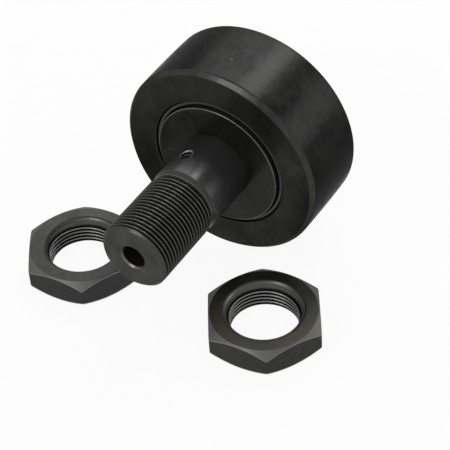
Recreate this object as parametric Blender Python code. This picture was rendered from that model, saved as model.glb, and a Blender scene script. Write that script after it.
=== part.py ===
"""Stud-type cam follower, M24 x 1.5, with its two loose thin hexagon nuts.

The roller lies on its rim on the floor, its stud along +X with the threaded tip
at +X, and a nut lies flat on each side of the stud. Lengths below are in
millimetres; along the stud they are counted from the shoulder face, the plane
that seats on the machine, with the tip at +49.5.
"""

import math

import bmesh
import bpy

MM = 0.001

# Whole follower
ROLLER_R = 36.0
CROWN_R = 500.0
RING_FRONT, RING_BACK = -0.8, -29.8
HEAD_FACE, STUD_TIP = -30.5, 49.5

# Stud
SHANK_R = 12.0
INNER_RACE_R = 16.0
FLANGE_R = 22.4
FLANGE_INNER = -25.6
RACE_SHOULDER = -5.4
SHANK_END, SHANK_EDGE, SHANK_EDGE_R = 19.6, 21.4, 11.4
RELIEF_END, RELIEF_R = 22.2, 10.9
THREAD_START = 23.9
TIP_CHAMFER = 1.1
PITCH = 1.5
THREAD_DEPTH = 0.92
STUD_TURNS = 15
NIPPLE_BORE_R, NIPPLE_BORE_DEPTH, NIPPLE_CHAMFER = 4.0, 10.0, 0.5
PASSAGE_R = 2.0
RACE_FEED_AT = -15.3
SHANK_FEED_AT, SHANK_FEED_ANGLE = 11.0, 110.0
SOCKET_AF, SOCKET_DEPTH = 14.0, 8.0

# Pressed washer, outer ring and seals
WASHER_BORE_R, WASHER_INNER = 12.15, -5.0
WASHER_R = 22.4
OUTER_RACE_R = 21.4
COUNTERBORE_R = 24.2
RIB_FRONT, RIB_BACK = -5.4, -25.2
RIM_RADIAL, RIM_AXIAL = 1.7, 1.6
SEAL_IN_R, SEAL_OUT_R = 22.7, 23.9

# Needles and cage
NEEDLES = 16
NEEDLE_R, NEEDLE_PITCH_R = 2.45, 18.7
NEEDLE_ENDS = (-22.8, -7.8)
CAGE_IN_R, CAGE_OUT_R = 17.5, 20.2
CAGE_ENDS = (-24.9, -5.7)
POCKET_ENDS = (-23.1, -7.5)
POCKET_HALF = 8.4

# Nuts
NUT_AF, NUT_H = 36.0, 10.0
NUT_CHAMFER_CIRCLE_R, NUT_CHAMFER_SLOPE = 17.5, math.radians(33)
MINOR_R, MAJOR_R = 11.19, 12.1
SINK_R = 13.3
LEAD_R, LEAD_TOP, LEAD_END = 12.15, 0.8, 2.4
NUT_THREAD_START, NUT_TURNS = -3.9, 3
NUT_RIGHT = (28.0, 33.5, 32.4)
NUT_LEFT = (30.9, -35.5, 33.5)

# Facets round a circle
FINE, COARSE, RIM = 48, 24, 72

# The origin is under the middle of the whole layout.
SHOULDER_X = -(STUD_TIP + HEAD_FACE) / 2
SHIFT_Y = 0.989
AXIS_Z = ROLLER_R


def clear_scene():
    for obj in list(bpy.data.objects):
        bpy.data.objects.remove(obj, do_unlink=True)
    for stock in (bpy.data.meshes, bpy.data.materials, bpy.data.cameras, bpy.data.lights):
        for item in list(stock):
            stock.remove(item)


def along_x(axial, angle, radius):
    return (axial * MM, radius * math.cos(angle) * MM, radius * math.sin(angle) * MM)


def along_z(axial, angle, radius):
    return (radius * math.cos(angle) * MM, radius * math.sin(angle) * MM, axial * MM)


def ring(bm, place, count, axial, radius):
    """One circle of vertices, or a single one on the axis."""
    if radius == 0:
        return [bm.verts.new(place(axial, 0, 0))]
    step = 2 * math.pi / count
    return [bm.verts.new(place(axial, i * step, radius)) for i in range(count)]


def fan(bm, apex, others):
    """Triangles from one vertex to each edge of a chain."""
    for v, w in zip(others, others[1:]):
        bm.faces.new((apex, v, w))


def bridge(bm, a, b):
    """Faces between two circles: equal counts, a whole ratio, or a point at one end."""
    if len(a) < len(b):
        a, b = b, a
    if len(b) == 1:
        for i, v in enumerate(a):
            bm.faces.new((v, a[(i + 1) % len(a)], b[0]))
        return
    ratio = len(a) // len(b)
    for i, v in enumerate(b):
        outer = [a[(i * ratio + k) % len(a)] for k in range(ratio + 1)]
        nxt = b[(i + 1) % len(b)]
        if ratio == 1:
            bm.faces.new((*outer, nxt, v))
            continue
        mid = ratio // 2
        fan(bm, outer[mid], [*outer[mid + 1:], nxt, v, *outer[:mid]])


def lathe(bm, place, count, profile, loop):
    """Circles through the profile's (axial, radius) points, joined in order."""
    rings = [ring(bm, place, count, x, r) for x, r in profile]
    for a, b in zip(rings, rings[1:]):
        bridge(bm, a, b)
    if loop:
        bridge(bm, rings[-1], rings[0])
    return rings


def thread_band(bm, place, count, start, turns, crest_r, root_r):
    """A right-hand V groove that fades in and out; returns its two end circles."""
    total = turns * count
    lead = {}
    body = {}
    for j in range(total + count + 1):
        angle = 2 * math.pi * (j % count) / count
        at = start + PITCH * j / count
        lead[j] = bm.verts.new(place(at, angle, crest_r))
        if j > total:
            continue
        fade = min(1, 2 * j / count, 2 * (total - j) / count)
        root = crest_r + (root_r - crest_r) * fade
        body[j] = [
            bm.verts.new(place(at + PITCH / 8, angle, crest_r)),
            bm.verts.new(place(at + PITCH * 9 / 16, angle, root)),
        ]
    for j in range(total):
        here = [lead[j], *body[j], lead[j + count]]
        there = [lead[j + 1], *body[j + 1], lead[j + count + 1]]
        for k in range(3):
            bm.faces.new((here[k], here[k + 1], there[k + 1], there[k]))
    first = ring(bm, place, count, start - 0.15, crest_r)
    last = ring(bm, place, count, start + PITCH * (turns + 1) + 0.15, crest_r)
    for i in range(count - 1):
        bm.faces.new((lead[i], lead[i + 1], first[i + 1], first[i]))
        top = total + i + 1
        bm.faces.new((lead[top], lead[top + 1], last[(i + 2) % count], last[i + 1]))
    a, b = body[0]
    fan(bm, lead[count - 1], [lead[count], b, a, lead[0], first[0], first[-1]])
    a, b = body[total]
    fan(bm, lead[total + 1], [last[1], last[0], lead[total + count], b, a, lead[total]])
    return first, last


def steel(name, colour, roughness, metallic=1.0):
    material = bpy.data.materials.new(name + "_material")
    material.use_nodes = True
    shader = material.node_tree.nodes["Principled BSDF"]
    shader.inputs["Base Color"].default_value = (*colour, 1)
    shader.inputs["Metallic"].default_value = metallic
    shader.inputs["Roughness"].default_value = roughness
    material.diffuse_color = (*colour, 1)
    return material


def finish(name, bm, location, colour, roughness, metallic=1.0):
    """Turn a closed bmesh into a smooth-shaded object with its own material."""
    bmesh.ops.recalc_face_normals(bm, faces=bm.faces)
    bmesh.ops.triangulate(bm, faces=bm.faces)
    mesh = bpy.data.meshes.new(name)
    bm.to_mesh(mesh)
    bm.free()
    mesh.shade_smooth()
    mesh.set_sharp_from_angle(angle=math.radians(28))
    obj = bpy.data.objects.new(name, mesh)
    obj.location = [c * MM for c in location]
    bpy.context.scene.collection.objects.link(obj)
    mesh.materials.append(steel(name, colour, roughness, metallic))
    return obj


def on_axis(x=0.0):
    return (SHOULDER_X + x, SHIFT_Y, AXIS_Z)


def cutter(name, bm, location):
    """A closed shape that is only subtracted."""
    bmesh.ops.recalc_face_normals(bm, faces=bm.faces)
    mesh = bpy.data.meshes.new(name)
    bm.to_mesh(mesh)
    bm.free()
    obj = bpy.data.objects.new(name, mesh)
    obj.location = [c * MM for c in location]
    obj.hide_render = True
    obj.display_type = "WIRE"
    bpy.context.scene.collection.objects.link(obj)
    return obj


def subtract(obj, tool):
    cut = obj.modifiers.new(tool.name, "BOOLEAN")
    cut.operation = "DIFFERENCE"
    cut.solver = "EXACT"
    cut.object = tool


def make_stud():
    bm = bmesh.new()
    body = lathe(bm, along_x, FINE, [
        (HEAD_FACE, 0), (HEAD_FACE, FLANGE_R - 0.6), (HEAD_FACE + 0.6, FLANGE_R),
        (FLANGE_INNER, FLANGE_R), (FLANGE_INNER, INNER_RACE_R), (RACE_SHOULDER, INNER_RACE_R),
        (RACE_SHOULDER, SHANK_R), (SHANK_END, SHANK_R), (SHANK_EDGE, SHANK_EDGE_R),
        (SHANK_EDGE, RELIEF_R), (RELIEF_END, RELIEF_R),
    ], loop=False)
    crest = SHANK_R - 0.05
    first, last = thread_band(
        bm, along_x, COARSE, THREAD_START, STUD_TURNS, crest, crest - THREAD_DEPTH)
    bridge(bm, body[-1], first)
    end = lathe(bm, along_x, FINE, [
        (STUD_TIP - TIP_CHAMFER, crest), (STUD_TIP, crest - TIP_CHAMFER),
        (STUD_TIP, NIPPLE_BORE_R + NIPPLE_CHAMFER), (STUD_TIP - NIPPLE_CHAMFER, NIPPLE_BORE_R),
    ], loop=False)
    bridge(bm, last, end[0])
    bore_end = STUD_TIP - NIPPLE_BORE_DEPTH
    inner = lathe(bm, along_x, COARSE, [
        (bore_end, NIPPLE_BORE_R), (bore_end - 1.2, PASSAGE_R),
        (RACE_FEED_AT - 2.6, PASSAGE_R), (RACE_FEED_AT - 3.7, 0),
    ], loop=False)
    bridge(bm, end[-1], inner[0])
    stud = finish("stud", bm, on_axis(), (0.055, 0.056, 0.052), 0.38)
    subtract(stud, make_socket_cutter())
    subtract(stud, make_feed_cutter("race_feed_cutter", RACE_FEED_AT, 90.0, INNER_RACE_R, 0.6))
    subtract(stud, make_feed_cutter(
        "shank_feed_cutter", SHANK_FEED_AT, SHANK_FEED_ANGLE, SHANK_R, 0.5))


def make_socket_cutter():
    """Hexagon socket with a lead-in cone and a drill point."""
    bm = bmesh.new()
    corner = SOCKET_AF / 2 / math.cos(math.pi / 6)
    floor = HEAD_FACE + SOCKET_DEPTH
    lathe(bm, along_x, 6, [
        (HEAD_FACE - 2, 0), (HEAD_FACE - 2, corner), (floor, corner), (floor + 1.6, 0),
    ], loop=False)
    return cutter("socket_cutter", bm, on_axis())


def make_feed_cutter(name, at, angle, surface_r, chamfer):
    """A radial oil hole from the centre passage out, with its mouth chamfered."""
    bm = bmesh.new()
    turn = math.radians(angle)
    out = (0.0, math.cos(turn), math.sin(turn))
    side = (0.0, -math.sin(turn), math.cos(turn))

    def place(axial, around, radius):
        u, v = radius * math.cos(around), radius * math.sin(around)
        return (u * MM, *((axial * out[k] + v * side[k]) * MM for k in (1, 2)))

    r = PASSAGE_R - 0.15
    lathe(bm, place, 16, [
        (0.0, 0), (0.0, r), (surface_r - chamfer, r),
        (surface_r + 1.0, r + chamfer + 1.0), (surface_r + 1.0, 0),
    ], loop=False)
    return cutter(name, bm, on_axis(at))


def make_end_washer():
    bm = bmesh.new()
    lathe(bm, along_x, FINE, [
        (0, WASHER_BORE_R + 0.15), (0, WASHER_R - 0.4), (-0.4, WASHER_R),
        (WASHER_INNER + 0.4, WASHER_R), (WASHER_INNER, WASHER_R - 0.4),
        (WASHER_INNER, WASHER_BORE_R), (-0.15, WASHER_BORE_R),
    ], loop=True)
    finish("end_washer", bm, on_axis(), (0.060, 0.061, 0.055), 0.42)


def make_outer_ring():
    middle = (RING_FRONT + RING_BACK) / 2
    half = (RING_FRONT - RING_BACK) / 2

    def crown(offset):
        return ROLLER_R - offset * offset / (2 * CROWN_R)

    edge = half - RIM_AXIAL
    outside = [(middle + f * edge, crown(f * edge)) for f in (-1, -0.5, 0, 0.5, 1)]
    rim = ROLLER_R - RIM_RADIAL
    bm = bmesh.new()
    lathe(bm, along_x, RIM, [
        *outside, (RING_FRONT, rim), (RING_FRONT, COUNTERBORE_R + 0.4),
        (RING_FRONT - 0.4, COUNTERBORE_R), (RIB_FRONT, COUNTERBORE_R),
        (RIB_FRONT, OUTER_RACE_R), (RIB_BACK, OUTER_RACE_R), (RIB_BACK, COUNTERBORE_R),
        (RING_BACK + 0.4, COUNTERBORE_R), (RING_BACK, COUNTERBORE_R + 0.4), (RING_BACK, rim),
    ], loop=True)
    finish("outer_ring", bm, on_axis(), (0.050, 0.051, 0.048), 0.36)


def make_seal(name, face, inward):
    """A sealing ring in a counterbore, `inward` pointing from its face into the roller."""
    def at(depth):
        return face + inward * depth

    bm = bmesh.new()
    lathe(bm, along_x, FINE, [
        (at(0.8), SEAL_IN_R + 0.3), (at(0.8), SEAL_OUT_R - 0.3), (at(1.1), SEAL_OUT_R),
        (at(4.2), SEAL_OUT_R), (at(4.2), SEAL_IN_R), (at(1.1), SEAL_IN_R),
    ], loop=True)
    finish(name, bm, on_axis(), (0.04, 0.04, 0.04), 0.55, 0.0)


def make_cage():
    """A tube with one pocket for each needle: bars between two end rings."""
    bm = bmesh.new()
    step = 2 * math.pi / NEEDLES
    half = math.radians(POCKET_HALF)
    angles = []
    for i in range(NEEDLES):
        angles += [i * step - half, i * step + half]
    stations = [CAGE_ENDS[0], *POCKET_ENDS, CAGE_ENDS[1]]
    grid = {
        (s, r): [bm.verts.new(along_x(x, a, radius)) for a in angles]
        for s, x in enumerate(stations)
        for r, radius in enumerate((CAGE_IN_R, CAGE_OUT_R))
    }
    count = len(angles)
    for i in range(count):
        j = (i + 1) % count
        pocket = i % 2 == 0
        for s in range(3):
            if s == 1 and pocket:
                continue
            for r in (0, 1):
                low, high = grid[s, r], grid[s + 1, r]
                bm.faces.new((low[i], low[j], high[j], high[i]))
        for s in (0, 3) if not pocket else (0, 1, 2, 3):
            near, far = grid[s, 0], grid[s, 1]
            bm.faces.new((near[i], near[j], far[j], far[i]))
        bm.faces.new([grid[corner][i] for corner in ((1, 0), (1, 1), (2, 1), (2, 0))])
    finish("needle_cage", bm, on_axis(), (0.30, 0.29, 0.27), 0.40)


def make_needles():
    low, high = NEEDLE_ENDS
    middle = (low + high) / 2
    half = (high - low) / 2
    for i in range(NEEDLES):
        bm = bmesh.new()
        lathe(bm, along_x, 12, [
            (-half, 0), (-half, NEEDLE_R - 0.5), (-half + 0.5, NEEDLE_R),
            (half - 0.5, NEEDLE_R), (half, NEEDLE_R - 0.5), (half, 0),
        ], loop=False)
        angle = 2 * math.pi * i / NEEDLES
        x, y, z = on_axis(middle)
        y += NEEDLE_PITCH_R * math.cos(angle)
        z += NEEDLE_PITCH_R * math.sin(angle)
        finish(f"needle_{i + 1:02d}", bm, (x, y, z), (0.62, 0.62, 0.63), 0.18)


def hexagon_radius(angle):
    """Distance to the side of the hexagon in this direction, a corner being at 0."""
    off = (angle % (math.pi / 3)) - math.pi / 6
    return NUT_AF / 2 / math.cos(off)


def make_nut(name, x, y, turn):
    """A thin hexagon nut, both faces chamfered and its thread countersunk at each end."""
    bm = bmesh.new()
    slope = math.tan(NUT_CHAMFER_SLOPE)
    angles = [2 * math.pi * i / FINE for i in range(FINE)]
    radii = [hexagon_radius(a) for a in angles]
    drops = [(r - NUT_CHAMFER_CIRCLE_R) * slope for r in radii]
    band = {}
    for side in (-1, 1):
        band[side] = [
            bm.verts.new(along_z(side * (NUT_H / 2 - d), a, r))
            for a, r, d in zip(angles, radii, drops)
        ]
        face = ring(bm, along_z, FINE, side * NUT_H / 2, NUT_CHAMFER_CIRCLE_R)
        sink = ring(bm, along_z, FINE, side * NUT_H / 2, SINK_R)
        bridge(bm, band[side], face)
        bridge(bm, face, sink)
        band[side, "sink"] = sink
    bridge(bm, band[-1], band[1])
    first, last = thread_band(
        bm, along_z, COARSE, NUT_THREAD_START, NUT_TURNS, MINOR_R, MAJOR_R)
    bridge(bm, band[-1, "sink"], first)
    lead = [ring(bm, along_z, FINE, NUT_H / 2 - d, LEAD_R) for d in (LEAD_TOP, LEAD_END)]
    bridge(bm, band[1, "sink"], lead[0])
    bridge(bm, lead[0], lead[1])
    bridge(bm, lead[1], last)
    nut = finish(name, bm, (SHOULDER_X + x, SHIFT_Y + y, NUT_H / 2), (0.065, 0.066, 0.058), 0.45)
    nut.rotation_euler = (0, 0, math.radians(turn))


def main():
    clear_scene()
    make_stud()
    make_end_washer()
    make_outer_ring()
    make_seal("stud_side_seal", RING_FRONT, -1)
    make_seal("head_side_seal", RING_BACK, 1)
    make_cage()
    make_needles()
    make_nut("nut_right", *NUT_RIGHT)
    make_nut("nut_left", *NUT_LEFT)


main()
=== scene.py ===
"""Looks for the stud-type cam follower and its two thin nuts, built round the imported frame."""

import math

import bmesh
import bpy
from mathutils import Matrix, Vector


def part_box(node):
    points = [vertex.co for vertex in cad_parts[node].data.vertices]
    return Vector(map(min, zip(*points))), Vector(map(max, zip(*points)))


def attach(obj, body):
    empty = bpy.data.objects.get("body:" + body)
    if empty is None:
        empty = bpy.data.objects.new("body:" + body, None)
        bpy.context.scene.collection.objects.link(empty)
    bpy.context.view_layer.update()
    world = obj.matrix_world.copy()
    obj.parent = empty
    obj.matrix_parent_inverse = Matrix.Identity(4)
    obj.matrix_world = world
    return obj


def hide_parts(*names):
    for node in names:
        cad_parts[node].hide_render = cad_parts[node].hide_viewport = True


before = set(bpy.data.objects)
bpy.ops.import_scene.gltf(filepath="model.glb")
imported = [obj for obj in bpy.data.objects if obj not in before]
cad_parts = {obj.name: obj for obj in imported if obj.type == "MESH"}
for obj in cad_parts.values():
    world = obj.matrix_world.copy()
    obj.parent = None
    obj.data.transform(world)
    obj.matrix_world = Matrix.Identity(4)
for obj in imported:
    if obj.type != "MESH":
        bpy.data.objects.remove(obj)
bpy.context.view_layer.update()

MM = 0.001

# Datum: the stud's axis, and the shoulder face on it, read from the frame.
STUD_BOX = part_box("stud")
WASHER_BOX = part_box("end_washer")
AXIS_Y = (STUD_BOX[0][1] + STUD_BOX[1][1]) / 2
AXIS_Z = (STUD_BOX[0][2] + STUD_BOX[1][2]) / 2
SHOULDER = Vector((WASHER_BOX[1][0], AXIS_Y, AXIS_Z))

# Sizes in millimetres, counted from the shoulder along the stud
SHANK_R, FLANGE_R, RACE_R = 12.0, 22.4, 16.0
HEAD_FACE, HEAD_INNER, RACE_END, TIP = -30.5, -25.6, -5.4, 49.5
SHANK_END, SHANK_EDGE, RELIEF_END, RELIEF_R = 19.6, 21.4, 22.2, 10.9
PITCH, THREAD_DEPTH = 1.5, 0.92
MAJOR_R, END_R = 11.95, 10.85
BORE_R, BORE_DEPTH, BORE_LIP, PASSAGE_R, PASSAGE_END = 4.0, 10.0, 0.55, 2.0, -19.0
SOCKET_ACROSS, SOCKET_DEPTH = 14.0, 8.0
WASHER_BORE_R, WASHER_BACK = 12.03, -5.0
RING_FRONT, RING_BACK = -0.8, -29.8
ROLLER_R, CROWN_R = 36.0, 500.0
COUNTERBORE_R, OUTER_RACE_R = 24.2, 21.4
RIM_RADIAL, RIM_AXIAL = 1.7, 1.6
SEAL_IN_R, SEAL_OUT_R, SEAL_SUNK, SEAL_BACK = 22.65, 24.0, 0.8, 4.2
FEED_AT, FEED_ANGLE, FEED_R, FEED_MOUTH_R = 11.0, 110.0, 1.85, 3.4
RACE_FEED_AT, RACE_FEED_ANGLE = -15.3, 90.0

# The nuts, counted from the middle of their height
NUT_ACROSS, NUT_MINOR_R = 36.0, 11.19
CHAMFER_R, CHAMFER_SLOPE = 17.5, math.radians(33)
SINK_R, LEAD_R, LEAD_DEPTH = 13.4, 12.2, 1.0
NUT_RIGHT_TURN, NUT_LEFT_TURN = 32.4, 33.5  # degrees from +X to a corner

ROUND, RING_ROUND, NUT_ROUND = 256, 320, 360
THREAD_ROWS = 22


# ---------------------------------------------------------------- geometry

def rounded(points, radii, steps=4, hold=0.12):
    """The polyline with each inner corner rounded, and a point each side that keeps it crisp."""
    out = [points[0]]
    for i in range(1, len(points) - 1):
        p, before, after = (Vector(points[k]) for k in (i, i - 1, i + 1))
        into, away = (p - before).normalized(), (after - p).normalized()
        turn = into.angle(away, 0.0)
        radius = radii[i]
        if radius <= 0 or turn < 1e-3:
            out.append(tuple(p))
            continue
        reach = radius * math.tan(turn / 2)
        start, end = p - into * reach, p + away * reach
        out.append(tuple(start - into * hold))
        for k in range(steps + 1):
            t = k / steps
            bow = start * (1 - t) ** 2 + p * 2 * t * (1 - t) + end * t ** 2
            out.append(tuple(bow))
        out.append(tuple(end + away * hold))
    out.append(points[-1])
    return out


def along_x(axial, angle, radius):
    return Vector((axial, radius * math.cos(angle), radius * math.sin(angle))) * MM


def along_z(axial, angle, radius):
    return Vector((radius * math.cos(angle), radius * math.sin(angle), axial)) * MM


def skin(name, place, rows, count, loop):
    """A surface through rows; a row is a function of the angle that gives (axial, radius)."""
    bm = bmesh.new()
    rings = []
    for row in rows:
        if not callable(row) and row[1] == 0:
            rings.append([bm.verts.new(place(row[0], 0, 0))])
            continue
        ring = []
        for i in range(count):
            angle = 2 * math.pi * i / count
            axial, radius = row(angle) if callable(row) else row
            ring.append(bm.verts.new(place(axial, angle, radius)))
        rings.append(ring)
    pairs = list(zip(rings, rings[1:]))
    if loop:
        pairs.append((rings[-1], rings[0]))
    for a, b in pairs:
        if len(a) < len(b):
            a, b = b, a
        for i in range(count):
            j = (i + 1) % count
            corners = (a[i], a[j], b[0]) if len(b) == 1 else (a[i], a[j], b[j], b[i])
            bm.faces.new(corners)
    bmesh.ops.recalc_face_normals(bm, faces=bm.faces)
    mesh = bpy.data.meshes.new(name)
    bm.to_mesh(mesh)
    bm.free()
    mesh.shade_smooth()
    mesh.set_sharp_from_angle(angle=math.radians(50))
    obj = bpy.data.objects.new(name, mesh)
    bpy.context.scene.collection.objects.link(obj)
    return obj


def thread_drop(axial, angle, rounding=0.05):
    """How far below the crest the thread's surface lies here, right-handed."""
    phase = (axial / PITCH - angle / (2 * math.pi)) % 1.0
    off = abs(phase - 0.5) * PITCH - PITCH / 16
    slope = off * math.sqrt(3)
    drop = (slope + math.sqrt(slope * slope + rounding * rounding)) / 2
    over = drop - THREAD_DEPTH
    return THREAD_DEPTH + (over - math.sqrt(over * over + 4 * rounding * rounding)) / 2


def cut_with(obj, tool):
    """Subtract a closed tool and keep only the result."""
    step = obj.modifiers.new(tool.name, "BOOLEAN")
    step.operation = "DIFFERENCE"
    step.solver = "EXACT"
    step.object = tool
    graph = bpy.context.evaluated_depsgraph_get()
    mesh = bpy.data.meshes.new_from_object(obj.evaluated_get(graph))
    obj.modifiers.clear()
    obj.data = mesh
    bpy.data.objects.remove(tool, do_unlink=True)


def put(obj, location):
    obj.location = location
    return obj


def make_stud():
    head = rounded(
        [(HEAD_FACE, 0), (HEAD_FACE, FLANGE_R), (HEAD_INNER, FLANGE_R), (HEAD_INNER, RACE_R),
         (RACE_END, RACE_R), (RACE_END, SHANK_R), *[(0.8 * k, SHANK_R) for k in range(8, 20)],
         (SHANK_END, SHANK_R), (SHANK_EDGE, 11.4), (SHANK_EDGE, RELIEF_R),
         (RELIEF_END, RELIEF_R)],
        [0, 0.6, 0.3, 0.2, 0.4, 0.2, *[0] * 12, 0.25, 0.15, 0.2, 0])

    def threaded(axial):
        def row(angle):
            run_out = min(1.0, max(0.0, (TIP - 0.75 - axial) / 0.5))
            r = MAJOR_R - thread_drop(axial, angle) * run_out
            lead_in = RELIEF_R + (axial - RELIEF_END)
            lead_out = END_R + (TIP - axial)
            return axial, min(r, lead_in, lead_out)
        return row

    first, last = RELIEF_END + 0.05, TIP - 0.4
    count = int((last - first) / PITCH * THREAD_ROWS)
    thread = [threaded(first + (last - first) * k / count) for k in range(count + 1)]
    end = rounded(
        [(TIP - 0.35, END_R + 0.35), (TIP, END_R), (TIP, BORE_R + BORE_LIP),
         (TIP - BORE_LIP, BORE_R), (TIP - BORE_DEPTH, BORE_R),
         (TIP - BORE_DEPTH - 1.2, PASSAGE_R), (PASSAGE_END + 1.1, PASSAGE_R),
         (PASSAGE_END, 0)],
        [0, 0.5, 0.1, 0.1, 0.1, 0.1, 0, 0], hold=0.05)
    stud = skin("follower_stud", along_x, [*head, *thread, *end], ROUND, loop=False)
    for name, at, angle, r in (("feed", FEED_AT, FEED_ANGLE, SHANK_R),
                               ("race_feed", RACE_FEED_AT, RACE_FEED_ANGLE, RACE_R)):
        turn = math.radians(angle)
        tool = skin(name, along_z, rounded(
            [(0, 0), (0, FEED_R), (r - 0.55, FEED_R), (r + 1.0, FEED_MOUTH_R), (r + 1.0, 0)],
            [0, 0, 0.25, 0, 0]), 64, loop=False)
        tool.matrix_world = Matrix.Translation((at * MM, 0, 0)) @ Matrix.Rotation(
            turn - math.pi / 2, 4, "X")
        bpy.context.view_layer.update()
        cut_with(stud, tool)
    corner = SOCKET_ACROSS / 2 / math.cos(math.pi / 6)
    key = skin("socket", along_x, [
        (HEAD_FACE - 2, 0), (HEAD_FACE - 2, corner), (HEAD_FACE + SOCKET_DEPTH, corner),
        (HEAD_FACE + SOCKET_DEPTH + 1.6, 0)], 6, loop=False)
    bpy.context.view_layer.update()
    cut_with(stud, key)
    mouth = skin("socket_mouth", along_x, [
        (HEAD_FACE - 1, 0), (HEAD_FACE - 1, corner + 1.3), (HEAD_FACE + 1.3, corner - 1.0),
        (HEAD_FACE + 1.3, 0)], 96, loop=False)
    bpy.context.view_layer.update()
    cut_with(stud, mouth)
    stud.data.set_sharp_from_angle(angle=math.radians(32))
    return put(stud, SHOULDER)


def make_washer():
    profile = rounded(
        [(WASHER_BACK / 2, WASHER_BORE_R), (-0.12, WASHER_BORE_R), (0, WASHER_BORE_R + 0.12),
         (0, FLANGE_R), (WASHER_BACK, FLANGE_R), (WASHER_BACK, WASHER_BORE_R),
         (WASHER_BACK / 2, WASHER_BORE_R)],
        [0, 0.04, 0.04, 0.3, 0.3, 0.15, 0], hold=0.06)
    return put(skin("follower_washer", along_x, profile[:-1], ROUND, loop=True), SHOULDER)


def make_ring():
    middle = (RING_FRONT + RING_BACK) / 2
    half = (RING_FRONT - RING_BACK) / 2
    edge = half - RIM_AXIAL

    def crown(offset):
        return ROLLER_R - offset * offset / (2 * CROWN_R)

    crest = [(middle + edge * k / 12, crown(edge * k / 12)) for k in range(-11, 12)]
    rim = ROLLER_R - RIM_RADIAL
    front = rounded(
        [crest[-1], (middle + edge, crown(edge)), (RING_FRONT, rim),
         (RING_FRONT, COUNTERBORE_R + 0.35), (RING_FRONT - 0.35, COUNTERBORE_R),
         (RACE_END, COUNTERBORE_R), (RACE_END, OUTER_RACE_R), (-15.0, OUTER_RACE_R)],
        [0, 1.1, 0.5, 0.12, 0.12, 0.3, 0.3, 0])
    back = [(2 * middle - x, r) for x, r in reversed(front)]
    rows = [*crest[:-1], *front, *back[1:-1]]
    return put(skin("follower_ring", along_x, rows, RING_ROUND, loop=True), SHOULDER)


def make_seal(name, face, inward):
    profile = rounded(
        [(SEAL_SUNK, 23.3), (SEAL_SUNK, SEAL_OUT_R - 0.25), (SEAL_SUNK + 0.25, SEAL_OUT_R),
         (SEAL_BACK, SEAL_OUT_R), (SEAL_BACK, SEAL_IN_R), (SEAL_SUNK + 0.25, SEAL_IN_R),
         (SEAL_SUNK, SEAL_IN_R + 0.25), (SEAL_SUNK, 23.3)],
        [0, 0.15, 0.15, 0.3, 0.3, 0.15, 0.15, 0], hold=0.05)
    rows = [(face + inward * depth, r) for depth, r in profile[:-1]]
    return put(skin(name, along_x, rows, ROUND, loop=True), SHOULDER)


def hexagon_radius(angle, sharpness=90):
    """A hexagon with slightly softened corners, one corner at angle 0."""
    total = 0.0
    for k in range(6):
        c = math.cos(angle - math.pi / 6 - k * math.pi / 3)
        if c > 0:
            total += (c / (NUT_ACROSS / 2)) ** sharpness
    return total ** (-1 / sharpness)


def make_nut(name, node, turn_degrees):
    low, high = (Vector(c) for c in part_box(node))
    half = (high.z - low.z) / 2 / MM
    slope = math.tan(CHAMFER_SLOPE)
    outline = []
    for i in range(NUT_ROUND):
        angle = 2 * math.pi * i / NUT_ROUND
        h = hexagon_radius(angle)
        outline.append(rounded(
            [(0, h), (half - (h - CHAMFER_R) * slope, h), (half, CHAMFER_R), (half, SINK_R),
             (half - LEAD_DEPTH, LEAD_R)],
            [0, 0.18, 0.2, 0.9, 0], steps=4, hold=0.06))
    size = len(outline[0])
    sink_rows = 8  # the last rows round into the countersink, which only the upper face has

    def outer(k, side):
        def row(angle):
            z, r = outline[round(angle * NUT_ROUND / (2 * math.pi)) % NUT_ROUND][k]
            return side * z, r
        return row

    def inner(z):
        def row(angle):
            thread = NUT_MINOR_R + thread_drop(z, angle, 0.04)
            depth = half - z
            lead = min(LEAD_R - 0.04 * (depth - LEAD_DEPTH), LEAD_R - 0.05 - (depth - 2.6) * 1.5)
            return z, max(thread, lead, LEAD_R - (half + z) * 1.2)
        return row

    top, base = half - LEAD_DEPTH, 0.2 - half
    steps = int((top - base) / PITCH * THREAD_ROWS)
    rows = [(0.0 - half, 12.6)]
    rows += [outer(k, -1) for k in reversed(range(1, size - sink_rows))]
    rows += [outer(k, 1) for k in range(size)]
    rows += [inner(top - 0.02 - (top - 0.02 - base) * k / steps) for k in range(steps + 1)]
    nut = skin(name, along_z, rows, NUT_ROUND, loop=True)
    nut.data.transform(Matrix.Rotation(math.radians(turn_degrees), 4, "Z"))
    return put(nut, (low + high) / 2)


# --------------------------------------------------------------- materials

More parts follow.
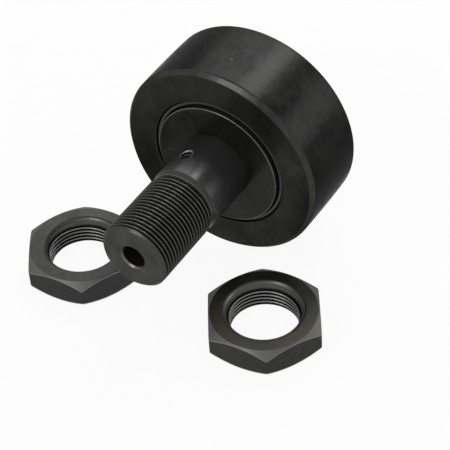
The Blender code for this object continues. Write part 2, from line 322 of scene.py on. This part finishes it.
class Nodes:
    """A few shorthands for building one material's node tree."""

    def __init__(self, name):
        self.material = bpy.data.materials.new(name)
        self.material.use_nodes = True
        self.tree = self.material.node_tree
        self.shader = self.tree.nodes["Principled BSDF"]
        self.coord = self.add("ShaderNodeTexCoord").outputs["Object"]

    def add(self, kind, **settings):
        node = self.tree.nodes.new(kind)
        for key, value in settings.items():
            setattr(node, key, value)
        return node

    def link(self, source, target):
        self.tree.links.new(source, target)

    def vector(self, operation, a, b):
        node = self.add("ShaderNodeVectorMath", operation=operation)
        self.feed(node.inputs[0], a)
        if operation == "SCALE":
            node.inputs["Scale"].default_value = b
        elif b is not None:
            self.feed(node.inputs[1], b)
        scalar = operation in ("LENGTH", "DOT_PRODUCT", "DISTANCE")
        return node.outputs["Value" if scalar else "Vector"]

    def math(self, operation, a, b=0.0, clamp=False):
        node = self.add("ShaderNodeMath", operation=operation, use_clamp=clamp)
        self.feed(node.inputs[0], a)
        self.feed(node.inputs[1], b)
        return node.outputs[0]

    def feed(self, socket, value):
        if isinstance(value, bpy.types.NodeSocket):
            self.link(value, socket)
        else:
            socket.default_value = value

    def noise(self, vector, scale, detail=3.0, rough=0.5):
        node = self.add("ShaderNodeTexNoise")
        self.link(vector, node.inputs["Vector"])
        node.inputs["Scale"].default_value = scale
        node.inputs["Detail"].default_value = detail
        node.inputs["Roughness"].default_value = rough
        return node.outputs["Fac"]

    def remap(self, value, low, high, to_low, to_high):
        node = self.add("ShaderNodeMapRange")
        self.link(value, node.inputs["Value"])
        for key, number in (("From Min", low), ("From Max", high), ("To Min", to_low),
                            ("To Max", to_high)):
            node.inputs[key].default_value = number
        return node.outputs["Result"]

    def mix(self, factor, a, b):
        node = self.add("ShaderNodeMix", data_type="RGBA")
        self.feed(node.inputs["Factor"], factor)
        for key, value in (("A", a), ("B", b)):
            socket = [s for s in node.inputs if s.name == key and s.type == "RGBA"][0]
            self.feed(socket, value if isinstance(value, bpy.types.NodeSocket) else (*value, 1))
        return [s for s in node.outputs if s.type == "RGBA"][0]

    def turned(self, axis, pitch, drift):
        """Coordinates that change fast across turning marks and slowly along them."""
        across = tuple(1 - c for c in axis)
        radial = self.vector("LENGTH", self.vector("MULTIPLY", self.coord, across), None)
        axial = self.vector("DOT_PRODUCT", self.coord, axis)
        joined = self.add("ShaderNodeCombineXYZ")
        self.link(self.math("MULTIPLY", axial, 1 / pitch), joined.inputs[0])
        self.link(self.math("MULTIPLY", radial, 1 / pitch), joined.inputs[1])
        slow = self.vector("SCALE", self.coord, 1 / drift)
        return self.vector("ADD", joined.outputs[0], slow)

    def bump(self, height, strength, distance, below=None):
        node = self.add("ShaderNodeBump")
        node.inputs["Strength"].default_value = strength
        node.inputs["Distance"].default_value = distance
        self.link(height, node.inputs["Height"])
        if below is not None:
            self.link(below, node.inputs["Normal"])
        return node.outputs["Normal"]


# Lengths in the steels' patterns, in metres
MARK_PITCH, MARK_DRIFT, MARK_BUMP = 0.25 * MM, 0.03, 0.00001
CLOUD_BUMP, GRAIN_BUMP = 0.00004, 0.00001

# Colours that several pieces share
# Painted shade for thread roots and the oil hole
SHADE_BLACK = (0.002, 0.002, 0.002)
# Painted highlight for the nuts' chamfer edges
EDGE_HIGHLIGHT = (0.22, 0.22, 0.21)
SPECK = (0.15, 0.15, 0.145)
# Painted highlight for the oil hole's mouth and the nuts' thread crests
GLINT_STEEL = (0.20, 0.20, 0.195)


def oxide_steel(name, axis, dark, olive, rough, zones, specks=0.035, tint=0.5, metal=0.75):
    """Blackened steel: turning marks, mottled oxide, a fine grain and a few pale specks."""
    n = Nodes(name)
    marks = n.noise(n.turned(axis, MARK_PITCH, MARK_DRIFT), 1.0, 5.0, 0.6)
    patches = n.noise(n.coord, 75.0, 5.0, 0.6)
    cloud = n.noise(n.coord, 420.0, 3.0, 0.5)
    grain = n.noise(n.coord, 4200.0, 2.0, 0.6)
    tone = n.math("ADD", n.math("MULTIPLY", patches, 0.65), n.math("MULTIPLY", cloud, 0.35))
    colour = n.mix(n.remap(tone, 0.38, 0.62, 0.0, 1.0), dark, olive)
    lighter = tuple(min(1.0, c * 1.35 + 0.002) for c in olive)
    colour = n.mix(n.remap(marks, 0.55, 0.8, 0.0, 0.5), colour, lighter)
    colour = zones(n, colour)
    cells = n.add("ShaderNodeTexVoronoi", feature="F1")
    n.link(n.coord, cells.inputs["Vector"])
    cells.inputs["Scale"].default_value = 260.0
    near = n.remap(cells.outputs["Distance"], 0.05, 0.08, 0.6, 0.0)
    pick = n.add("ShaderNodeSeparateColor")
    n.link(cells.outputs["Color"], pick.inputs[0])
    chosen = n.math("LESS_THAN", pick.outputs[0], specks)
    colour = n.mix(n.math("MULTIPLY", near, chosen), colour, SPECK)
    n.link(colour, n.shader.inputs["Base Color"])
    spread = n.math("ADD", n.remap(patches, 0.3, 0.7, -0.07, 0.08),
                    n.remap(cloud, 0.3, 0.7, -0.04, 0.04))
    spread = n.math("ADD", spread, n.remap(grain, 0.3, 0.7, -0.03, 0.03))
    n.link(n.math("ADD", spread, rough), n.shader.inputs["Roughness"])
    n.shader.inputs["Metallic"].default_value = metal
    n.shader.inputs["Specular IOR Level"].default_value = 0.12
    n.shader.inputs["Specular Tint"].default_value = (tint, tint, tint, 1)
    normal = n.bump(cloud, 0.35, CLOUD_BUMP)
    normal = n.bump(grain, 0.2, GRAIN_BUMP, normal)
    normal = n.bump(marks, 0.45, MARK_BUMP, normal)
    n.link(normal, n.shader.inputs["Normal"])
    return n.material


def window(n, value, low, high, soft):
    """1 between low and high, fading to 0 outside."""
    rise = n.remap(value, low - soft, low + soft, 0.0, 1.0)
    fall = n.remap(value, high - soft, high + soft, 1.0, 0.0)
    return n.math("MULTIPLY", rise, fall)


def axial_and_radius(n):
    axial = n.math("MULTIPLY", n.vector("DOT_PRODUCT", n.coord, ALONG_X), 1000.0)
    across = n.vector("MULTIPLY", n.coord, (0, 1, 1))
    radius = n.math("MULTIPLY", n.vector("LENGTH", across, None), 1000.0)
    return axial, radius


def stud_zones(n, colour):
    """Lighter crests as a painted highlight over black painted shade in the thread roots; a
    lighter tip face; a painted highlight at the shank edge; black painted shade in the oil hole
    with painted highlights round its mouth and on the lower side of the bore lip.
    """
    axial, radius = axial_and_radius(n)
    thread = window(n, axial, SHANK_EDGE + 0.2, TIP - 1.1, 0.1)
    # Painted highlight on the thread crests and painted shade in the thread roots
    root_shade = n.math("MULTIPLY", thread, n.remap(radius, 11.1, 11.55, 1.0, 0.0))
    crest = n.math("MULTIPLY", thread, n.remap(radius, 11.6, 11.9, 0.0, 1.0))
    shank = window(n, axial, -1.0, SHANK_EDGE, 0.1)
    colour = n.mix(n.math("MULTIPLY", shank, 0.85), colour, (0.044, 0.044, 0.0435))
    colour = n.mix(root_shade, colour, SHADE_BLACK)
    colour = n.mix(crest, colour, (0.068, 0.068, 0.065))
    end = n.mix(n.remap(n.noise(n.coord, 160.0, 5.0, 0.6), 0.35, 0.65, 0.0, 1.0),
                (0.036, 0.0365, 0.035), (0.056, 0.0565, 0.053))
    colour = n.mix(window(n, axial, TIP - 1.15, TIP + 1, 0.1), colour, end)
    # A thin painted highlight line on the shank edge chamfer
    colour = n.mix(window(n, axial, SHANK_EDGE - 0.2, SHANK_EDGE + 0.05, 0.08), colour,
                   (0.10, 0.10, 0.09))
    turn = math.radians(FEED_ANGLE)
    mouth = along_x(FEED_AT, turn, SHANK_R)
    away = n.math("MULTIPLY", n.vector("DISTANCE", n.coord, tuple(mouth)), 1000.0)
    ahead = n.math("SUBTRACT", axial, FEED_AT)
    # Painted highlight on the oil hole's mouth chamfer
    mouth_highlight = n.math("MULTIPLY", window(n, away, 2.1, 2.5, 0.1), n.remap(ahead, -0.9, 1.2, 1.0, 0.1))
    # Painted shade inside the oil hole
    hole_shade = n.math("MULTIPLY", window(n, away, -1.0, 4.0, 0.1),
                    n.remap(radius, 11.6, 11.8, 1.0, 0.0))
    hole_shade = n.math("MAXIMUM", hole_shade, window(n, away, -1.0, 2.1, 0.1))
    colour = n.mix(hole_shade, colour, SHADE_BLACK)
    bore = n.math("MULTIPLY", window(n, axial, 30.0, TIP - 0.1, 0.2),
                  n.remap(radius, BORE_R + 0.2, BORE_R + 0.6, 1.0, 0.0))
    colour = n.mix(bore, colour, (0.021, 0.018, 0.0175))
    # A painted highlight on the bore lip, kept to its lower side by the direction below
    lip_highlight = n.math("MULTIPLY", window(n, radius, BORE_R - 0.05, BORE_R + 0.6, 0.1),
                 window(n, axial, TIP - 0.7, TIP + 1, 0.1))
    low = n.remap(n.vector("DOT_PRODUCT", n.coord, (0, -0.5, -0.87)), 0.0010, 0.0040, 0.12, 1.0)
    colour = n.mix(n.math("MULTIPLY", lip_highlight, low), colour, (0.12, 0.12, 0.115))
    colour = n.mix(mouth_highlight, colour, GLINT_STEEL)
    # Small bright painted glints round the oil hole's mouth
    mouth_glints = n.remap(n.noise(n.coord, 1500.0, 1.0, 0.5), 0.56, 0.60, 0.0, 1.0)
    mouth_glints = n.math("MULTIPLY", mouth_glints, window(n, away, 0.5, 2.3, 0.2))
    mouth_glints = n.math("MULTIPLY", mouth_glints, n.remap(ahead, 0.2, 0.8, 0.0, 1.0))
    return n.mix(mouth_glints, colour, (0.55, 0.55, 0.54))


def washer_zones(n, colour):
    """A brighter rim on the pressed washer as a painted highlight, and a fainter painted
    highlight on its outer wall.
    """
    axial, radius = axial_and_radius(n)
    # Painted highlight along the outer edge of the front face
    rim = n.math("MULTIPLY", window(n, radius, FLANGE_R - 0.3, 23.4, 0.08),
                 window(n, axial, -0.4, 1, 0.1))
    # A fainter painted highlight on the washer's outer wall
    wall_highlight = n.math("MULTIPLY", window(n, radius, FLANGE_R - 0.1, 23.4, 0.05),
                  window(n, axial, -6, -0.4, 0.1))
    colour = n.mix(rim, colour, (0.11, 0.11, 0.105))
    return n.mix(wall_highlight, colour, (0.030, 0.030, 0.028))


def nut_zones(n, colour, face_shade_share=0.55, rust_share=1.0):
    """Faces darkened as painted shade, with rust; chamfers lighter with bright edges, a lighter
    bore and bright thread crests, all painted highlights; black painted shade in the thread
    roots.
    """
    z = n.math("MULTIPLY", n.math("ABSOLUTE", n.vector("DOT_PRODUCT", n.coord, ALONG_Z)), 1000.0)
    across = n.vector("MULTIPLY", n.coord, (1, 1, 0))
    radius = n.math("MULTIPLY", n.vector("LENGTH", across, None), 1000.0)
    fall = n.math("MULTIPLY", n.math("SUBTRACT", radius, CHAMFER_R), math.tan(CHAMFER_SLOPE))
    under = n.math("ADD", n.math("SUBTRACT", z, 5.0), fall)
    outer = n.remap(radius, CHAMFER_R, CHAMFER_R + 0.25, 0.0, 1.0)
    # Painted highlights: the chamfers a little lighter and a bright line along their lower edge
    chamfer_highlight = n.math("MULTIPLY", outer, n.remap(under, -0.10, -0.04, 0.0, 1.0))
    edge = n.math("MULTIPLY", outer, window(n, under, -0.36, -0.02, 0.05))
    flat = n.math("MULTIPLY", window(n, radius, 12.9, CHAMFER_R, 0.2),
                  n.remap(z, 4.9, 4.97, 0.0, 1.0))
    rust = n.remap(n.noise(n.coord, 55.0, 4.0, 0.6), 0.47, 0.62, 0.0, 0.5 * rust_share)
    # Painted shade darkens both faces; the rust over them is the steel's own
    colour = n.mix(n.math("MULTIPLY", flat, face_shade_share), colour, (0.023, 0.0228, 0.0215))
    colour = n.mix(n.math("MULTIPLY", flat, rust), colour, (0.050, 0.040, 0.026))
    colour = n.mix(n.math("MULTIPLY", chamfer_highlight, 0.8), colour, (0.058, 0.0585, 0.055))
    colour = n.mix(n.math("MULTIPLY", edge, 0.8), colour, EDGE_HIGHLIGHT)
    # Painted highlight: the bore and countersink painted lighter; painted shade in the thread
    # roots below the top
    bore = n.remap(radius, 12.95, 13.2, 1.0, 0.0)
    root_shade = n.math("MULTIPLY", window(n, radius, 11.5, 12.13, 0.1), n.remap(z, 2.4, 2.8, 1.0, 0.0))
    low = n.math("LESS_THAN", n.vector("DOT_PRODUCT", n.coord, ALONG_Z), 0.0024)
    root_shade = n.math("MAXIMUM", root_shade, n.math("MULTIPLY", low, window(n, radius, 11.5, 12.13, 0.1)))
    colour = n.mix(bore, colour, (0.080, 0.080, 0.078))
    # Painted highlight on the thread crests
    crest = n.math("MULTIPLY", n.remap(radius, 11.35, 11.5, 1.0, 0.0), bore)
    colour = n.mix(crest, colour, GLINT_STEEL)
    return n.mix(root_shade, colour, SHADE_BLACK)


def ring_zones(n, colour):
    """The ground rim chamfers, a little lighter and greener than the rest as a painted highlight;
    a painted highlight on the counterbore edge; a mottled tone on the end faces.
    """
    axial, radius = axial_and_radius(n)
    middle = (RING_FRONT + RING_BACK) / 2
    off = n.math("ABSOLUTE", n.math("SUBTRACT", axial, middle))
    half = (RING_FRONT - RING_BACK) / 2
    # Painted highlight on the rim chamfers
    rim_band_highlight = n.math("MULTIPLY", window(n, off, half - RIM_AXIAL - 0.1, half + 1, 0.15),
                  n.remap(radius, ROLLER_R - RIM_RADIAL, ROLLER_R - RIM_RADIAL + 0.2, 0.0, 1.0))
    face = n.math("MULTIPLY", n.remap(off, half - 0.1, half - 0.03, 0.0, 1.0),
                  n.remap(radius, ROLLER_R - RIM_RADIAL - 0.2, ROLLER_R - RIM_RADIAL, 1.0, 0.0))
    # Painted highlight on the counterbore edge
    lip_highlight = n.math("MULTIPLY", window(n, radius, COUNTERBORE_R - 0.1, COUNTERBORE_R + 0.4, 0.05),
                 n.remap(off, half - 0.5, half - 0.3, 0.0, 1.0))
    tone = n.noise(n.coord, 130.0, 5.0, 0.65)
    share = n.remap(tone, 0.35, 0.65, 0.0, 1.0)
    # The end faces' own mottled tone
    tone_and_sheen = n.mix(share, (0.0215, 0.0215, 0.0210), (0.033, 0.033, 0.0305))
    colour = n.mix(face, colour, tone_and_sheen)
    colour = n.mix(lip_highlight, colour, (0.034, 0.034, 0.032))
    # The rim band's painted highlight, mottled
    tone_and_sheen = n.mix(share, (0.028, 0.029, 0.025), (0.047, 0.048, 0.042))
    return n.mix(rim_band_highlight, colour, tone_and_sheen)


def bright_steel(name, axis, colour, rough):
    """Ground bearing steel with a thin film of oil, for the pieces inside."""
    n = Nodes(name)
    marks = n.noise(n.turned(axis, 0.15 * MM, 0.02), 1.0, 4.0, 0.6)
    patches = n.noise(n.coord, 220.0, 4.0, 0.5)
    tinted = tuple(c * 0.8 for c in colour)
    mottled = n.mix(n.remap(patches, 0.35, 0.65, 0.0, 1.0), colour, tinted)
    n.link(mottled, n.shader.inputs["Base Color"])
    n.link(n.remap(marks, 0.3, 0.7, rough - 0.05, rough + 0.08), n.shader.inputs["Roughness"])
    n.shader.inputs["Metallic"].default_value = 1.0
    n.link(n.bump(marks, 0.4, 0.000006), n.shader.inputs["Normal"])
    return n.material


def seal_plastic(name):
    """Black moulding, with black painted shade in the gaps on each side of the seal."""
    n = Nodes(name)
    patches = n.noise(n.coord, 300.0, 4.0, 0.6)
    grain = n.noise(n.coord, 3500.0, 2.0, 0.5)
    axial, radius = axial_and_radius(n)
    colour = n.mix(patches, (0.024, 0.024, 0.023), (0.048, 0.048, 0.045))
    # Painted shade at the seal's inner and outer edges
    gap_shade = n.math("MAXIMUM", window(n, radius, 20.0, SEAL_IN_R + 0.3, 0.08),
                    window(n, radius, SEAL_OUT_R - 0.15, 26.0, 0.08))
    colour = n.mix(gap_shade, colour, (0.004, 0.004, 0.004))
    n.link(colour, n.shader.inputs["Base Color"])
    n.link(n.remap(patches, 0.3, 0.7, 0.28, 0.42), n.shader.inputs["Roughness"])
    n.shader.inputs["Specular IOR Level"].default_value = 0.2
    n.link(n.bump(grain, 0.3, 0.00001), n.shader.inputs["Normal"])
    return n.material


def dress(obj, material, body, node):
    """Give a piece its material, and let it ride and stand for its CAD node."""
    obj.data.materials.clear()
    obj.data.materials.append(material)
    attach(obj, body)
    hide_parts(node)


ALONG_X, ALONG_Z = (1, 0, 0), (0, 0, 1)

stud_steel = oxide_steel(
    "oxide_stud", ALONG_X, (0.0120, 0.0122, 0.0122), (0.0165, 0.0168, 0.0152), 0.31,
    stud_zones, specks=0.05, metal=0.65)
washer_steel = oxide_steel(
    "oxide_washer", ALONG_X, (0.020, 0.020, 0.0182), (0.028, 0.028, 0.0235), 0.26, washer_zones)
ring_steel = oxide_steel(
    "oxide_ring", ALONG_X, (0.0120, 0.0121, 0.0122), (0.0205, 0.0206, 0.0192), 0.30,
    ring_zones, tint=0.12)
nut_steel = oxide_steel(
    "oxide_nut", ALONG_Z, (0.028, 0.0283, 0.0275), (0.042, 0.0423, 0.040), 0.36, nut_zones)
# A shaded copy of the nut steel for the far nut: painted shade nearly covers its faces, and it
# has no rust
far_nut_shaded_steel = oxide_steel(
    "oxide_nut_far_shaded", ALONG_Z, (0.030, 0.0304, 0.0302), (0.041, 0.0415, 0.0405), 0.38,
    lambda n, colour: nut_zones(n, colour, face_shade_share=0.95, rust_share=0.0))
seal_black = seal_plastic("seal_moulding")

dress(make_stud(), stud_steel, "stud_body", "stud")
dress(make_washer(), washer_steel, "stud_body", "end_washer")
dress(make_ring(), ring_steel, "roller", "outer_ring")
dress(make_seal("follower_seal_front", RING_FRONT, -1), seal_black,
      "roller", "stud_side_seal")
dress(make_seal("follower_seal_back", RING_BACK, 1), seal_black,
      "roller", "head_side_seal")
dress(make_nut("hex_nut_right", "nut_right", NUT_RIGHT_TURN), nut_steel,
      "nut_right_body", "nut_right")
dress(make_nut("hex_nut_left", "nut_left", NUT_LEFT_TURN), far_nut_shaded_steel,
      "nut_left_body", "nut_left")

needle_steel = bright_steel("ground_needle", ALONG_X, (0.62, 0.62, 0.63), 0.18)
cage_steel = bright_steel("pressed_cage", ALONG_X, (0.30, 0.29, 0.27), 0.38)
for name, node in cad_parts.items():
    if name.startswith("needle_"):
        node.data.materials.clear()
        node.data.materials.append(cage_steel if name == "needle_cage" else needle_steel)


# ------------------------------------------------------- floor, light, camera

def make_floor():
    bpy.ops.mesh.primitive_plane_add(size=6.0, location=(0, 0, -0.00005))
    floor = bpy.context.object
    floor.name = "studio_floor"
    material = bpy.data.materials.new("pale_floor")
    material.use_nodes = True
    tree = material.node_tree
    shader = tree.nodes["Principled BSDF"]
    shader.inputs["Base Color"].default_value = (0.03, 0.03, 0.03, 1)
    shader.inputs["Roughness"].default_value = 0.9
    shader.inputs["Specular IOR Level"].default_value = 0.0
    shader.inputs["Emission Color"].default_value = (1, 1, 1, 1)
    shader.inputs["Emission Strength"].default_value = 0.93
    floor.data.materials.append(material)


LAMP_DISTANCE = 0.9


def area(name, along, bearing, size, radiance):
    """A soft box round the follower; its bearing is counted round the stud from +Y up."""
    turn = math.radians(bearing)
    reach = math.sqrt(1 - along * along)
    aim = Vector((along, reach * math.cos(turn), reach * math.sin(turn))) * LAMP_DISTANCE
    data = bpy.data.lights.new(name, "AREA")
    data.shape = "RECTANGLE"
    data.size, data.size_y = size
    data.energy = radiance * math.pi * size[0] * size[1]
    lamp = bpy.data.objects.new(name, data)
    lamp.location = SHOULDER + aim
    round_axis = Vector((0, -math.sin(turn), math.cos(turn)))
    out = aim.normalized()
    level = round_axis.cross(out)
    lamp.matrix_world = Matrix.Translation(SHOULDER + aim) @ Matrix(
        (level, round_axis, out)).transposed().to_4x4()
    bpy.context.scene.collection.objects.link(lamp)


def make_light():
    world = bpy.data.worlds.new("studio")
    world.use_nodes = True
    back = world.node_tree.nodes["Background"]
    back.inputs["Color"].default_value = (1, 1, 1, 1)
    back.inputs["Strength"].default_value = 0.9
    bpy.context.scene.world = world
    area("overhead", -0.62, 84, (0.45, 0.26), 10.0)
    area("behind", -0.62, 124, (0.45, 0.62), 5.0)
    area("low_side", -0.62, 20, (0.45, 0.40), 2.6)
    area("front_top", 0.72, 105, (0.4, 0.4), 6.0)


def make_camera():
    data = bpy.data.cameras.new("camera")
    data.sensor_width = 36.0
    data.lens = 136.2
    data.clip_start, data.clip_end = 0.01, 20.0
    camera = bpy.data.objects.new("camera", data)
    place = Vector((0.337793, 0.238769, 0.402697))
    target = Vector((-0.018131, -0.003172, 0.0))
    forward = (target - place).normalized()
    right = forward.cross(Vector((0, 0, 1))).normalized()
    up = right.cross(forward)
    roll = -0.0691
    cos, sin = math.cos(roll), math.sin(roll)
    right, up = right * cos + up * sin, up * cos - right * sin
    turn = Matrix((right, up, -forward)).transposed().to_4x4()
    camera.matrix_world = Matrix.Translation(place) @ turn
    bpy.context.scene.collection.objects.link(camera)
    bpy.context.scene.camera = camera


make_floor()
make_light()
make_camera()
bpy.context.scene.view_settings.view_transform = "Standard"

bpy.context.view_layer.update()
